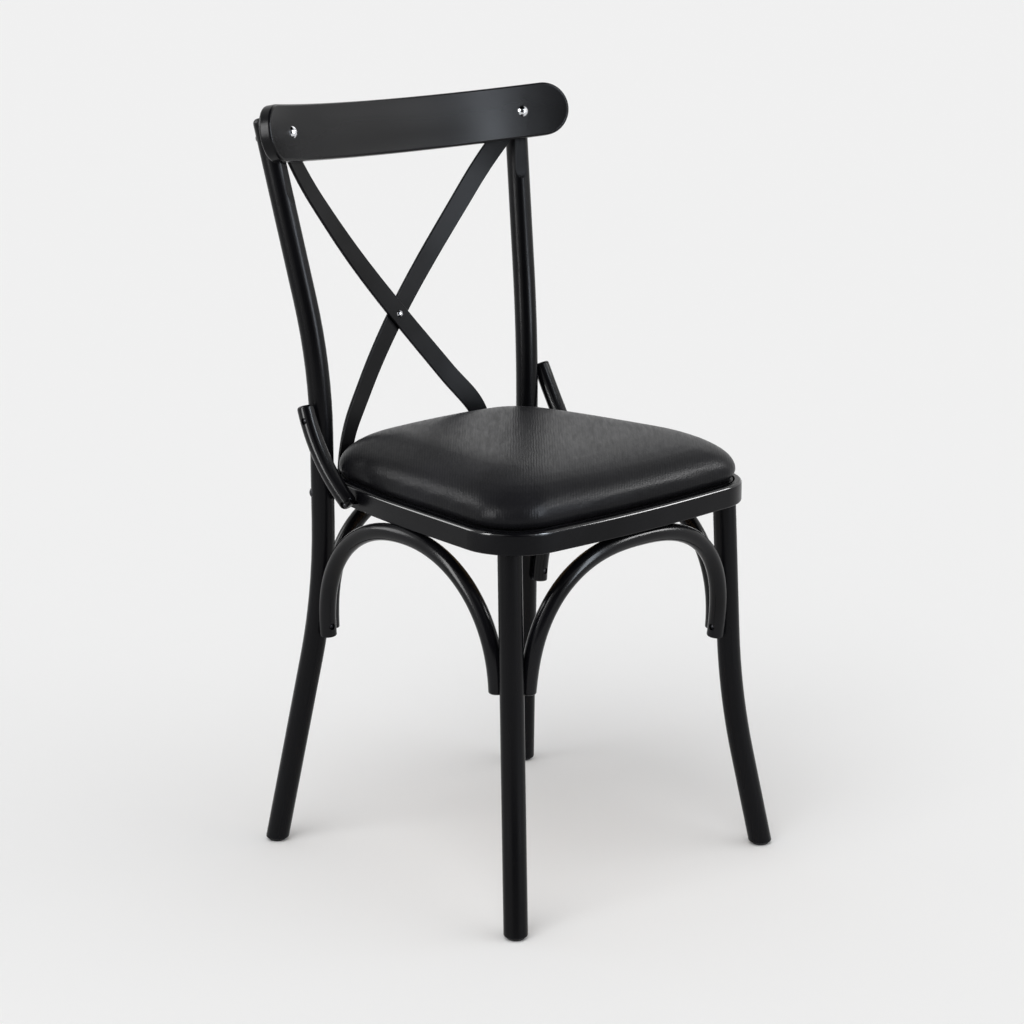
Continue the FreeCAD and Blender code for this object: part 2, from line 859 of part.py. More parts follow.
front_line = Part.BSplineCurve()
front_line.interpolate(Points=strap_points(LEFT, 0))
cross_way = front_line.tangent(front_line.parameter(vec(0, strap_cross_y, strap_cross_z)))[0]
cross_heading = unit(vec(0, 1, -cross_way.y / cross_way.z))
cross_middle = vec(0, strap_cross_y, strap_cross_z)
cross_stack = strap_thickness + curved_gap * 1.5
cross_seat = cross_middle - cross_heading * cross_stack
cross_length = cross_stack * 2 + cross_nut_height / 2
cross_head = (cross_head_diameter, cross_head_height)
cross_sizes = (cross_length, cross_head, cross_shank_diameter, cross_head_diameter)
cross_screw = Fastener("cross_screw", cross_seat, cross_heading, *cross_sizes)
nut_seat = cross_middle + cross_heading * cross_stack
cross_nut = domed(nut_seat, cross_heading, cross_head_diameter, cross_nut_height)
cross_nut = cross_nut.cut(cross_screw.bore())

# Rail bolts and their nuts
rail_bolts = {}
rail_nuts = {}
nut_pockets = {}
for side in (LEFT, RIGHT):
    face, normal = rail_frame(rail_bolt_x, 0)
    face, normal = flip(face, side), flip(normal, side)
    axis = point_at(rear_paths[side], face.z)[0]
    depth = (axis - face).dot(normal) + leg_diameter / 2 - rail_nut_sink
    seat = face - normal * fit_gap
    length = depth + fit_gap + rail_nut_height / 2
    head = (rail_bolt_head_diameter, rail_bolt_head_height)
    name = "rail_bolt_" + side_names[side]
    rail_bolts[side] = Fastener(name, seat, normal, length, head, rail_bolt_shank_diameter, head[0])
    nut_seat = face + normal * (depth + fit_gap)
    nut = domed(nut_seat, normal, rail_nut_diameter, rail_nut_height).cut(rail_bolts[side].bore())
    rail_nuts[side] = nut
    wide = rail_nut_diameter + bore_gap * 4
    nut_pockets[side] = pin(nut_seat - normal * fit_gap, normal, wide, leg_diameter)

for name, (side, shift) in strap_sides.items():
    straps[name] = drilled(straps[name], [cross_screw, rail_bolts[side], strap_screws[name]], False)
rail = drilled(make_rail(), list(rail_bolts.values()), False)

# Glides under the feet
glide_profile = [
    (0.0, 0.0),
    (glide_diameter / 2 - glide_round, 0.0),
    (glide_diameter / 2, glide_round),
    (glide_diameter / 2, glide_height - fit_gap),
    (glide_pin_diameter / 2, glide_height - fit_gap),
    (glide_pin_diameter / 2, glide_height + glide_pin_length),
    (0.0, glide_height + glide_pin_length),
]


def glide_at(path):
    """Return the glide under a leg and the bore for its pin."""
    sole = point_at(path, glide_height)[0]
    glide = turned(glide_profile, vec(sole.x, sole.y, 0), UP)
    depth = glide_height + glide_pin_length + fit_gap
    bore = pin(vec(sole.x, sole.y, 0), UP, glide_pin_diameter + bore_gap * 2, depth)
    return glide, bore


below_sole = slab(-leg_diameter * 3, glide_height)

# Rear legs
for side in (LEFT, RIGHT):
    whole = Part.Wire(longer(rear_leg_path(side), leg_diameter).Edges[:-1])
    leg = rod(whole, leg_diameter)
    crown = nearest_edges(leg, lambda m, e: m.z > rear_top_z - leg_diameter / 2 and e.Closed)
    leg = leg.makeFillet(rear_top_round, crown)
    leg = rounded_foot(leg.cut(below_sole))
    leg = leg.cut(ring_hold)
    leg = leg.cut(seat_block(side, seat_depth))
    leg = leg.cut(nut_pockets[side])
    leg = drilled(leg, leg_screws[id(rear_paths[side])] + [rail_bolts[side]], False)
    leg = drilled(leg, [leg_bolts[side]], True)
    glide, bore = glide_at(rear_paths[side])
    leg = leg.cut(bore)
    save("rear_leg_" + side_names[side], leg)
    save("glide_rear_" + side_names[side], glide)
    save("leg_bolt_" + side_names[side], leg_bolts[side].body())
    save("rail_bolt_" + side_names[side], rail_bolts[side].body())
    save("rail_nut_" + side_names[side], rail_nuts[side])

# Front legs, with tenons that stand in the ring
tenon_bores = []
for side in (LEFT, RIGHT):
    leg = rod(front_paths[side], leg_diameter)
    leg = rounded_foot(leg.cut(below_sole))
    leg = leg.cut(slab(ring_bottom_z - fit_gap, ring_top_z + leg_diameter * 2))
    root = point_at(front_paths[side], ring_bottom_z - fit_gap)[0]
    tenon = pin(root - UP * fit_gap, UP, tenon_diameter, tenon_length + fit_gap * 2)
    leg = leg.fuse(tenon).removeSplitter()
    bore_diameter = tenon_diameter + fit_gap * 2
    tenon_bores.append(pin(root - UP * fit_gap, UP, bore_diameter, tenon_length + fit_gap * 3))
    leg = drilled(leg, leg_screws[id(front_paths[side])], False)
    glide, bore = glide_at(front_paths[side])
    leg = leg.cut(bore)
    save("front_leg_" + side_names[side], leg)
    save("glide_front_" + side_names[side], glide)

# Seat ring
ring = ring_plate(0, ring_bottom_z, ring_height)
ring = ring.cut(ring_plate(ring_width, ring_bottom_z - ring_height, ring_height * 3))
ring = ring.cut(ring_plate(ring_rim, ledge_z, ring_height))
inner_rim = ring_plate(ring_rim + fit_gap, ring_top_z - fit_gap, fit_gap * 2)


def on_outer_top(middle, edge):
    """Tell whether an edge belongs to the outer rim of the ring's top."""
    apart = inner_rim.distToShape(Part.Vertex(middle))[0]
    return abs(middle.z - ring_top_z) < fit_gap and apart > ring_rim / 2


ring = ring.makeFillet(ring_top_round, nearest_edges(ring, on_outer_top))
bottom_edges = nearest_edges(ring, lambda m, e: abs(m.z - ring_bottom_z) < fit_gap)
ring = ring.makeFillet(ring_edge_round, bottom_edges)

# Drop-in seat
cover_inset = ring_rim + seat_side_gap
cover_z = ledge_z + fit_gap


def cushion_form(skin):
    """Return the crowned cushion, drawn in by a skin."""
    wires = []
    height = cushion_crown - skin
    for inset_share, height_share in zip(cushion_inset_shares, cushion_height_shares):
        rounding = cushion_roll * inset_share * cushion_round_share
        inset = cover_inset + skin + cushion_roll * inset_share
        wires.append(ring_outline(inset, cover_z + height * height_share, rounding))
    return Part.makeLoft(wires, True, False)


hem_inset = cushion_roll * cushion_inset_shares[0]
hem_rounding = hem_inset * cushion_round_share
board_inset = cover_inset + hem_inset + cover_thickness + board_side_gap
board_z = cover_z + cover_thickness + fit_gap
board = ring_plate(board_inset, board_z, board_thickness, hem_rounding)
void = cushion_form(cover_thickness).cut(slab(cover_z - ring_height, cover_z + cover_thickness))
cover = cushion_form(0).cut(void)
cover = cover.cut(ring_plate(board_inset + cover_fold, cover_z - ring_height, ring_height * 2))
foam = cushion_form(cover_thickness + fit_gap)
foam = foam.cut(slab(cover_z - ring_height, board_z + board_thickness + fit_gap))

seat_screws = []
seat_screw_spots = {
    "front": (seat_screw_front_x, seat_screw_front_y),
    "rear": (seat_screw_rear_x, seat_screw_rear_y),
}
for side in (LEFT, RIGHT):
    for tag, (x, y) in seat_screw_spots.items():
        seat = vec(x * side, y, ring_bottom_z + screw_dimple_depth)
        name = "seat_screw_" + tag + "_" + side_names[side]
        seat_screws.append(wood_screw(name, seat, UP, seat_screw_length))

ring = drilled(ring, seat_screws, True)
board = drilled(board, seat_screws, False)
cover = drilled(cover, seat_screws, False)
for bore in tenon_bores:
    ring = ring.cut(bore)
ring = drilled(ring, ring_screws + list(leg_bolts.values()) + list(strap_screws.values()), False)

save("seat_ring", ring)
save("seat_board", board)
save("seat_foam", foam)
save("seat_cover", cover)
save("top_rail", rail)
for name, shape in list(arches.items()) + list(braces.items()) + list(straps.items()):
    save(name, shape)
for own in arch_screws.values():
    for fastener in own:
        save(fastener.name, fastener.body())
for fastener in brace_screws + seat_screws + list(strap_screws.values()) + [cross_screw]:
    save(fastener.name, fastener.body())
save("cross_nut", cross_nut)
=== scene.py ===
import logging
import math
from dataclasses import dataclass
from enum import Enum

import bpy
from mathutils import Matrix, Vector


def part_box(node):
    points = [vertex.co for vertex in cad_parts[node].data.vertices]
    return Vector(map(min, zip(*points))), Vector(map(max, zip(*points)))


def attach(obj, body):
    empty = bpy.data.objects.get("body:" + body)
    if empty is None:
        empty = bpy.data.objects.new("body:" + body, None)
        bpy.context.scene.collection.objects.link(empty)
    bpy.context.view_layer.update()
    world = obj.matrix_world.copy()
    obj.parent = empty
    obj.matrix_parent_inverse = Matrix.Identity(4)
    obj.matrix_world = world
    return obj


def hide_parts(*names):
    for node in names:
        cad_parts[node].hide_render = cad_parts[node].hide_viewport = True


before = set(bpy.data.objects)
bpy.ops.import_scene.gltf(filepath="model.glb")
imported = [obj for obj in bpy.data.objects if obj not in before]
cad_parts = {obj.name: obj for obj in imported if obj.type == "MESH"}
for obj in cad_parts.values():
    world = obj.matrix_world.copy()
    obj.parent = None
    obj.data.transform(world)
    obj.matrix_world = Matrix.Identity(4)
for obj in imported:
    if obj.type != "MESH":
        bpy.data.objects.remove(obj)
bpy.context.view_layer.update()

MM = 0.001
BODY = "root"

# The sRGB curve: a straight foot up to the knee, then a power.
SRGB_KNEE = 0.04045
SRGB_FOOT_SLOPE = 12.92
SRGB_OFFSET = 0.055
SRGB_POWER = 2.4
BYTE_WHITE = 255

# Blender's Wave Texture turns through so many radians per unit at a scale of one.
WAVE_RADIANS = 20
# Noise seldom leaves this span, so a gloss that follows it is stretched over it.
NOISE_LOW = 0.3
NOISE_HIGH = 0.7
# Lacquer and vinyl bend light about as glass does.
POLYMER_IOR = 1.5
# Corners of a copied solid that lie nearer than this are one corner.
WELD = 0.01 * MM

log = logging.getLogger("chair")

Colour = tuple[float, float, float, float]
Span = tuple[float, float]


def linear(hex_colour: str) -> Colour:
    """Turn an sRGB hex colour into the linear values that shaders take.

    Args:
        hex_colour: the colour as "#rrggbb".

    Returns:
        Red, green, blue and an alpha of one.
    """
    channels = [int(hex_colour[i:i + 2], 16) / BYTE_WHITE for i in (1, 3, 5)]
    bent = [
        c / SRGB_FOOT_SLOPE if c <= SRGB_KNEE
        else ((c + SRGB_OFFSET) / (1 + SRGB_OFFSET)) ** SRGB_POWER
        for c in channels
    ]
    return (bent[0], bent[1], bent[2], 1.0)


def add_node(
    tree: bpy.types.NodeTree, kind: str, inputs: dict | None = None, **settings: object,
) -> bpy.types.Node:
    """Add one node, give it its settings, and fill or link its inputs.

    Args:
        tree: the node tree that gets the node.
        kind: the node's type name.
        inputs: values or output sockets by the input's name or number.
        settings: the node's own properties by name.

    Returns:
        The new node.
    """
    node = tree.nodes.new(kind)
    for name, value in settings.items():
        setattr(node, name, value)
    for name, value in (inputs or {}).items():
        if isinstance(value, bpy.types.NodeSocket):
            tree.links.new(value, node.inputs[name])
        else:
            node.inputs[name].default_value = value
    return node


def noise_scale(feature_mm: float) -> float:
    """Return the Noise Texture scale whose features are that many millimetres wide."""
    return 1 / (feature_mm * MM)


def wave_scale(period_mm: float) -> float:
    """Return the Wave Texture scale whose bands repeat every so many millimetres."""
    return math.tau / (WAVE_RADIANS * period_mm * MM)


class Grain(Enum):
    """How the texture under a lacquer runs, as its scale along X, Y and Z.

    A small scale draws the texture out along that axis.
    """

    UPRIGHT = (1.0, 1.0, 0.08)
    ACROSS = (0.08, 1.0, 1.0)
    EVEN = (1.0, 1.0, 1.0)


@dataclass(frozen=True)
class Finish:
    """A surface finish that can be put on any piece."""

    title: str

    def surface(self, tree: bpy.types.NodeTree) -> bpy.types.Node:
        """Build the shader nodes.

        Args:
            tree: the material's node tree, emptied.

        Returns:
            The shader node that goes to the material's surface.
        """
        raise NotImplementedError

    def material(self) -> bpy.types.Material:
        """Make the material once and give it back every time after.

        Returns:
            The material of this finish.
        """
        made = bpy.data.materials.get(self.title)
        if made:
            return made
        made = bpy.data.materials.new(self.title)
        made.use_nodes = True
        made.node_tree.nodes.clear()
        shader = self.surface(made.node_tree)
        add_node(made.node_tree, "ShaderNodeOutputMaterial", {"Surface": shader.outputs[0]})
        return made


@dataclass(frozen=True)
class SatinLacquer(Finish):
    """Black satin lacquer, sprayed over bent beech or flat steel.

    The eye sees a near-black body that stays dark head-on and lightens towards
    its turned-away edges, with soft stripes of light along each rod.
    """

    colour: str = "#08080a"
    thin_colour: str = "#0f0f12"
    tone_span: Span = (0.35, 0.65)
    grain: Grain = Grain.EVEN
    # Beech pores are under a tenth of a millimetre wide. They are drawn coarser, so that they show.
    pore_mm: float = 0.5
    pore_octaves: float = 2.0
    pore_depth_mm: float = 0.006
    ripple_mm: float = 2.2
    ripple_octaves: float = 1.0
    ripple_depth_mm: float = 0.012
    cloud_mm: float = 60.0
    cloud_octaves: float = 3.0
    roughness: float = 0.27
    roughness_spread: float = 0.07
    specular: float = 0.11

    def surface(self, tree: bpy.types.NodeTree) -> bpy.types.Node:
        """Build the lacquer: clouded colour, sprayed ripple and the pores that show through.

        Args:
            tree: the material's node tree, emptied.

        Returns:
            The shader node.
        """
        place = add_node(tree, "ShaderNodeTexCoord").outputs["Object"]
        along = add_node(tree, "ShaderNodeMapping", {
            "Vector": place, "Scale": self.grain.value,
        }).outputs[0]
        pores = add_node(tree, "ShaderNodeTexNoise", {
            "Vector": along, "Scale": noise_scale(self.pore_mm), "Detail": self.pore_octaves,
        })
        ripple = add_node(tree, "ShaderNodeTexNoise", {
            "Vector": place, "Scale": noise_scale(self.ripple_mm), "Detail": self.ripple_octaves,
        })
        cloud = add_node(tree, "ShaderNodeTexNoise", {
            "Vector": along, "Scale": noise_scale(self.cloud_mm), "Detail": self.cloud_octaves,
        })
        tone = add_node(tree, "ShaderNodeValToRGB", {"Fac": cloud.outputs["Fac"]})
        thick, thin = tone.color_ramp.elements
        thick.position, thin.position = self.tone_span
        thick.color, thin.color = linear(self.colour), linear(self.thin_colour)
        rough = add_node(tree, "ShaderNodeMapRange", {
            "Value": cloud.outputs["Fac"], "From Min": NOISE_LOW, "From Max": NOISE_HIGH,
            "To Min": self.roughness - self.roughness_spread / 2,
            "To Max": self.roughness + self.roughness_spread / 2,
        })
        sprayed = add_node(tree, "ShaderNodeBump", {
            "Height": ripple.outputs["Fac"], "Distance": self.ripple_depth_mm * MM,
        })
        pored = add_node(tree, "ShaderNodeBump", {
            "Height": pores.outputs["Fac"], "Distance": self.pore_depth_mm * MM,
            "Normal": sprayed.outputs[0],
        })
        return add_node(tree, "ShaderNodeBsdfPrincipled", {
            "Base Color": tone.outputs["Color"], "Roughness": rough.outputs["Result"],
            "Specular IOR Level": self.specular, "IOR": POLYMER_IOR, "Normal": pored.outputs[0],
        })


@dataclass(frozen=True)
class RubbedLacquer(Finish):
    """Black satin lacquer whose upper rim is rubbed to a gloss.

    The eye sees the same near-black body as the other rods, with a crisp bright
    line along the rim, where the cushion and long use polish it.
    """

    colour: str = "#08080a"
    thin_colour: str = "#0f0f12"
    tone_span: Span = (0.35, 0.65)
    rim_z_mm: float = 446.9
    rim_band_mm: float = 0.8
    rim_fade_mm: float = 0.5
    # Beech pores are under a tenth of a millimetre wide. They are drawn coarser, so that they show.
    pore_mm: float = 0.5
    pore_octaves: float = 2.0
    pore_depth_mm: float = 0.006
    cloud_mm: float = 60.0
    cloud_octaves: float = 3.0
    roughness: float = 0.27
    rim_roughness: float = 0.12
    specular: float = 0.11
    rim_specular: float = 0.5

    def surface(self, tree: bpy.types.NodeTree) -> bpy.types.Node:
        """Build the lacquer: clouded colour, fine pores and the polish near the rim.

        Args:
            tree: the material's node tree, emptied.

        Returns:
            The shader node.
        """
        place = add_node(tree, "ShaderNodeTexCoord").outputs["Object"]
        height = add_node(tree, "ShaderNodeSeparateXYZ", {"Vector": place}).outputs["Z"]
        pores = add_node(tree, "ShaderNodeTexNoise", {
            "Vector": place, "Scale": noise_scale(self.pore_mm), "Detail": self.pore_octaves,
        })
        cloud = add_node(tree, "ShaderNodeTexNoise", {
            "Vector": place, "Scale": noise_scale(self.cloud_mm), "Detail": self.cloud_octaves,
        })
        tone = add_node(tree, "ShaderNodeValToRGB", {"Fac": cloud.outputs["Fac"]})
        thick, thin = tone.color_ramp.elements
        thick.position, thin.position = self.tone_span
        thick.color, thin.color = linear(self.colour), linear(self.thin_colour)
        offset = add_node(tree, "ShaderNodeMath", {
            0: height, 1: self.rim_z_mm * MM,
        }, operation="SUBTRACT")
        away = add_node(tree, "ShaderNodeMath", {0: offset.outputs[0]}, operation="ABSOLUTE")
        fade = {
            "Value": away.outputs[0], "From Min": self.rim_band_mm * MM,
            "From Max": (self.rim_band_mm + self.rim_fade_mm) * MM,
        }
        rough = add_node(tree, "ShaderNodeMapRange", fade | {
            "To Min": self.rim_roughness, "To Max": self.roughness,
        })
        gloss = add_node(tree, "ShaderNodeMapRange", fade | {
            "To Min": self.rim_specular, "To Max": self.specular,
        })
        pored = add_node(tree, "ShaderNodeBump", {
            "Height": pores.outputs["Fac"], "Distance": self.pore_depth_mm * MM,
        })
        return add_node(tree, "ShaderNodeBsdfPrincipled", {
            "Base Color": tone.outputs["Color"], "Roughness": rough.outputs["Result"],
            "Specular IOR Level": gloss.outputs["Result"], "IOR": POLYMER_IOR,
            "Normal": pored.outputs[0],
        })


@dataclass(frozen=True)
class EmbossedVinyl(Finish):
    """Black upholstery vinyl, calendered and embossed with fine straight ribs.

    The eye sees a charcoal sheen on the top, fine broken lines that run across
    the seat from corner to corner, and sparkles where they turn over the edge.
    """

    colour: str = "#141416"
    worn_colour: str = "#1c1c1f"
    tone_span: Span = (0.35, 0.65)
    rib_mm: float = 3.0
    rib_depth_mm: float = 0.06
    rib_bearing_deg: float = 43.8
    rib_waver: float = 3.2
    waver_octaves: float = 2.0
    waver_scale: float = 0.35
    waver_roughness: float = 0.6
    streak_mm: float = 4.0
    streak_stretch: float = 0.12
    streak_octaves: float = 3.0
    streak_curl: float = 0.4
    streak_depth_mm: float = 0.20
    # The pebble of such vinyl is about half as wide. It is drawn coarser, so that it shows.
    pebble_mm: float = 1.4
    pebble_depth_mm: float = 0.04
    cloud_mm: float = 90.0
    cloud_octaves: float = 3.0
    roughness: float = 0.34
    roughness_spread: float = 0.10
    specular: float = 0.075

    def surface(self, tree: bpy.types.NodeTree) -> bpy.types.Node:
        """Build the vinyl: straight ribs, broken streaks, a pebble and a slow change of tone.

        Args:
            tree: the material's node tree, emptied.

        Returns:
            The shader node.
        """
        place = add_node(tree, "ShaderNodeTexCoord").outputs["Object"]
        turned = add_node(tree, "ShaderNodeMapping", {
            "Vector": place, "Rotation": (0.0, 0.0, math.radians(self.rib_bearing_deg)),
        })
        ribs = add_node(tree, "ShaderNodeTexWave", {
            "Vector": turned.outputs[0], "Scale": wave_scale(self.rib_mm),
            "Distortion": self.rib_waver, "Detail": self.waver_octaves,
            "Detail Scale": self.waver_scale, "Detail Roughness": self.waver_roughness,
        }, wave_type="BANDS", bands_direction="X", wave_profile="SIN")
        drawn = add_node(tree, "ShaderNodeMapping", {
            "Vector": turned.outputs[0], "Scale": (1.0, self.streak_stretch, 1.0),
        })
        streaks = add_node(tree, "ShaderNodeTexNoise", {
            "Vector": drawn.outputs[0], "Scale": noise_scale(self.streak_mm),
            "Detail": self.streak_octaves, "Distortion": self.streak_curl,
        })
        pebble = add_node(tree, "ShaderNodeTexVoronoi", {
            "Vector": place, "Scale": noise_scale(self.pebble_mm),
        })
        cloud = add_node(tree, "ShaderNodeTexNoise", {
            "Vector": place, "Scale": noise_scale(self.cloud_mm), "Detail": self.cloud_octaves,
        })
        tone = add_node(tree, "ShaderNodeValToRGB", {"Fac": cloud.outputs["Fac"]})
        fresh, worn = tone.color_ramp.elements
        fresh.position, worn.position = self.tone_span
        fresh.color, worn.color = linear(self.colour), linear(self.worn_colour)
        rough = add_node(tree, "ShaderNodeMapRange", {
            "Value": streaks.outputs["Fac"], "From Min": NOISE_LOW, "From Max": NOISE_HIGH,
            "To Min": self.roughness + self.roughness_spread / 2,
            "To Max": self.roughness - self.roughness_spread / 2,
        })
        pebbled = add_node(tree, "ShaderNodeBump", {
            "Height": pebble.outputs["Distance"], "Distance": self.pebble_depth_mm * MM,
        })
        streaked = add_node(tree, "ShaderNodeBump", {
            "Height": streaks.outputs["Fac"], "Distance": self.streak_depth_mm * MM,
            "Normal": pebbled.outputs[0],
        })
        ribbed = add_node(tree, "ShaderNodeBump", {
            "Height": ribs.outputs["Fac"], "Distance": self.rib_depth_mm * MM,
            "Normal": streaked.outputs[0],
        })
        return add_node(tree, "ShaderNodeBsdfPrincipled", {
            "Base Color": tone.outputs["Color"], "Roughness": rough.outputs["Result"],
            "Specular IOR Level": self.specular, "IOR": POLYMER_IOR, "Normal": ribbed.outputs[0],
        })


@dataclass(frozen=True)
class TurnedSteel(Finish):
    """Steel turned on a lathe, then plated bright or blackened in oil.

    The eye sees mirror-like heads with faint turning scratches where it is
    plated, and a dull dark sheen where it is blackened.
    """

    colour: str = "#dcdde0"
    stain_colour: str = "#c6c7cb"
    # The lathe's scratches are far finer. They are drawn coarser, so that they show.
    scratch_mm: float = 0.25
    scratch_octaves: float = 2.0
    scratch_depth_mm: float = 0.004
    stain_mm: float = 3.0
    stain_octaves: float = 3.0
    roughness: float = 0.14
    roughness_spread: float = 0.08

    def surface(self, tree: bpy.types.NodeTree) -> bpy.types.Node:
        """Build the metal: patchy tone, patchy gloss and fine scratches.

        Args:
            tree: the material's node tree, emptied.

        Returns:
            The shader node.
        """
        place = add_node(tree, "ShaderNodeTexCoord").outputs["Object"]
        scratch = add_node(tree, "ShaderNodeTexNoise", {
            "Vector": place, "Scale": noise_scale(self.scratch_mm), "Detail": self.scratch_octaves,
        })
        stain = add_node(tree, "ShaderNodeTexNoise", {
            "Vector": place, "Scale": noise_scale(self.stain_mm), "Detail": self.stain_octaves,
        })
        tone = add_node(tree, "ShaderNodeValToRGB", {"Fac": stain.outputs["Fac"]})
        stained, clean = tone.color_ramp.elements
        stained.color, clean.color = linear(self.stain_colour), linear(self.colour)
        rough = add_node(tree, "ShaderNodeMapRange", {
            "Value": stain.outputs["Fac"], "From Min": NOISE_LOW, "From Max": NOISE_HIGH,
            "To Min": self.roughness - self.roughness_spread / 2,
            "To Max": self.roughness + self.roughness_spread / 2,
        })
        scratched = add_node(tree, "ShaderNodeBump", {
            "Height": scratch.outputs["Fac"], "Distance": self.scratch_depth_mm * MM,
        })
        return add_node(tree, "ShaderNodeBsdfPrincipled", {
            "Base Color": tone.outputs["Color"], "Roughness": rough.outputs["Result"],
            "Metallic": 1.0, "Normal": scratched.outputs[0],
        })


@dataclass(frozen=True)
class BirchPlywood(Finish):
    """Raw rotary-cut birch plywood under the cushion.

    The eye sees a pale tan face with long cloudy figure, and dark and light
    plies in turn along the cut edge.
    """

    colour: str = "#c9a87c"
    late_colour: str = "#a9845a"
    tone_span: Span = (0.18, 0.42)
    figure_mm: float = 14.0
    figure_stretch: float = 0.12
    figure_octaves: float = 4.0
    figure_curl: float = 0.6
    # Birch fibres are far finer. They are drawn coarser, so that they show.
    fibre_mm: float = 0.7
    fibre_octaves: float = 2.0
    fibre_depth_mm: float = 0.05
    ply_mm: float = 1.8
    ply_share: float = 0.12
    roughness: float = 0.62

    def surface(self, tree: bpy.types.NodeTree) -> bpy.types.Node:
        """Build the wood: cloudy figure along X, fine fibres and the plies by height.

        Args:
            tree: the material's node tree, emptied.

        Returns:
            The shader node.
        """
        place = add_node(tree, "ShaderNodeTexCoord").outputs["Object"]
        along = add_node(tree, "ShaderNodeMapping", {
            "Vector": place, "Scale": (self.figure_stretch, 1.0, 1.0),
        }).outputs[0]
        figure = add_node(tree, "ShaderNodeTexNoise", {
            "Vector": along, "Scale": noise_scale(self.figure_mm),
            "Detail": self.figure_octaves, "Distortion": self.figure_curl,
        })
        fibre = add_node(tree, "ShaderNodeTexNoise", {
            "Vector": along, "Scale": noise_scale(self.fibre_mm), "Detail": self.fibre_octaves,
        })
        # A dark and a light ply make one turn of the wave.
        plies = add_node(tree, "ShaderNodeTexWave", {
            "Vector": place, "Scale": wave_scale(self.ply_mm * 2),
        }, wave_type="BANDS", bands_direction="Z", wave_profile="SIN")
        mixed = add_node(tree, "ShaderNodeMath", {
            0: figure.outputs["Fac"], 1: fibre.outputs["Fac"],
        }, operation="MULTIPLY")
        layered = add_node(tree, "ShaderNodeMath", {
            0: plies.outputs["Fac"], 1: self.ply_share, 2: mixed.outputs[0],
        }, operation="MULTIPLY_ADD")
        tone = add_node(tree, "ShaderNodeValToRGB", {"Fac": layered.outputs[0]})
        late, early = tone.color_ramp.elements
        late.position, early.position = self.tone_span
        late.color, early.color = linear(self.late_colour), linear(self.colour)
        furred = add_node(tree, "ShaderNodeBump", {
            "Height": fibre.outputs["Fac"], "Distance": self.fibre_depth_mm * MM,
        })
        return add_node(tree, "ShaderNodeBsdfPrincipled", {
            "Base Color": tone.outputs["Color"], "Roughness": self.roughness,
            "Normal": furred.outputs[0],
        })


@dataclass(frozen=True)
class MouldedNylon(Finish):
    """Black nylon, injection moulded with a spark-eroded matt texture.

    The eye sees a dull dark grey with a fine tooth that scuffs lighter.
    """

    colour: str = "#141416"
    scuff_colour: str = "#232326"
    tone_span: Span = (0.45, 0.75)
    # A spark-eroded tooth is far finer. It is drawn coarser, so that it shows.
    tooth_mm: float = 0.4
    tooth_octaves: float = 2.0
    tooth_depth_mm: float = 0.02
    scuff_mm: float = 5.0
    scuff_octaves: float = 4.0
    roughness: float = 0.55
    specular: float = 0.35

    def surface(self, tree: bpy.types.NodeTree) -> bpy.types.Node:
        """Build the plastic: a matt tooth and scuffed patches.

        Args:
            tree: the material's node tree, emptied.

        Returns:
            The shader node.
        """
        place = add_node(tree, "ShaderNodeTexCoord").outputs["Object"]
        tooth = add_node(tree, "ShaderNodeTexNoise", {
            "Vector": place, "Scale": noise_scale(self.tooth_mm), "Detail": self.tooth_octaves,
        })
        scuff = add_node(tree, "ShaderNodeTexNoise", {
            "Vector": place, "Scale": noise_scale(self.scuff_mm), "Detail": self.scuff_octaves,
        })
        tone = add_node(tree, "ShaderNodeValToRGB", {"Fac": scuff.outputs["Fac"]})
        whole, scuffed = tone.color_ramp.elements
        whole.position, scuffed.position = self.tone_span
        whole.color, scuffed.color = linear(self.colour), linear(self.scuff_colour)
        toothed = add_node(tree, "ShaderNodeBump", {
            "Height": tooth.outputs["Fac"], "Distance": self.tooth_depth_mm * MM,
        })
        return add_node(tree, "ShaderNodeBsdfPrincipled", {
            "Base Color": tone.outputs["Color"], "Roughness": self.roughness,
            "Specular IOR Level": self.specular, "Normal": toothed.outputs[0],
        })


@dataclass(frozen=True)
class StudioPaper(Finish):
    """Seamless studio paper: flat, matt and almost white."""

    colour: str = "#f3f3f3"

    def surface(self, tree: bpy.types.NodeTree) -> bpy.types.Node:
        """Build the paper as a plain matt surface."""
        return add_node(tree, "ShaderNodeBsdfDiffuse", {"Color": linear(self.colour)})


@dataclass(frozen=True)
class PanelGlow(Finish):
    """The even glow of a cloth-covered softbox, or none on a dark card."""

    strength: float
    tint: str

    def surface(self, tree: bpy.types.NodeTree) -> bpy.types.Node:
        """Build the glow as a plain emitter.

        Args:
            tree: the material's node tree, emptied.

        Returns:
            The shader node.
        """
        return add_node(tree, "ShaderNodeEmission", {
            "Color": linear(self.tint), "Strength": self.strength,
        })


ROD_LACQUER = SatinLacquer("satin black lacquer on bent beech, upright", grain=Grain.UPRIGHT)
ARCH_LACQUER = SatinLacquer(
    "satin black lacquer on bent beech, curved", specular=0.17, roughness=0.20,
)
RAIL_LACQUER = SatinLacquer(
    "satin black lacquer on moulded beech", grain=Grain.ACROSS, specular=0.15,
)
RING_LACQUER = RubbedLacquer("satin black lacquer on the seat ring")
STRAP_LACQUER = SatinLacquer(
    "satin black lacquer on flat steel", specular=0.10, roughness=0.34, pore_depth_mm=0.003,
)
SEAT_VINYL = EmbossedVinyl("embossed black vinyl")
BRIGHT_STEEL = TurnedSteel("bright plated steel")
DARK_STEEL = TurnedSteel(
    "blackened steel", colour="#3a3a3d", stain_colour="#252527", roughness=0.38,
)
BOARD_PLY = BirchPlywood("raw birch plywood")
GLIDE_NYLON = MouldedNylon("moulded black nylon")


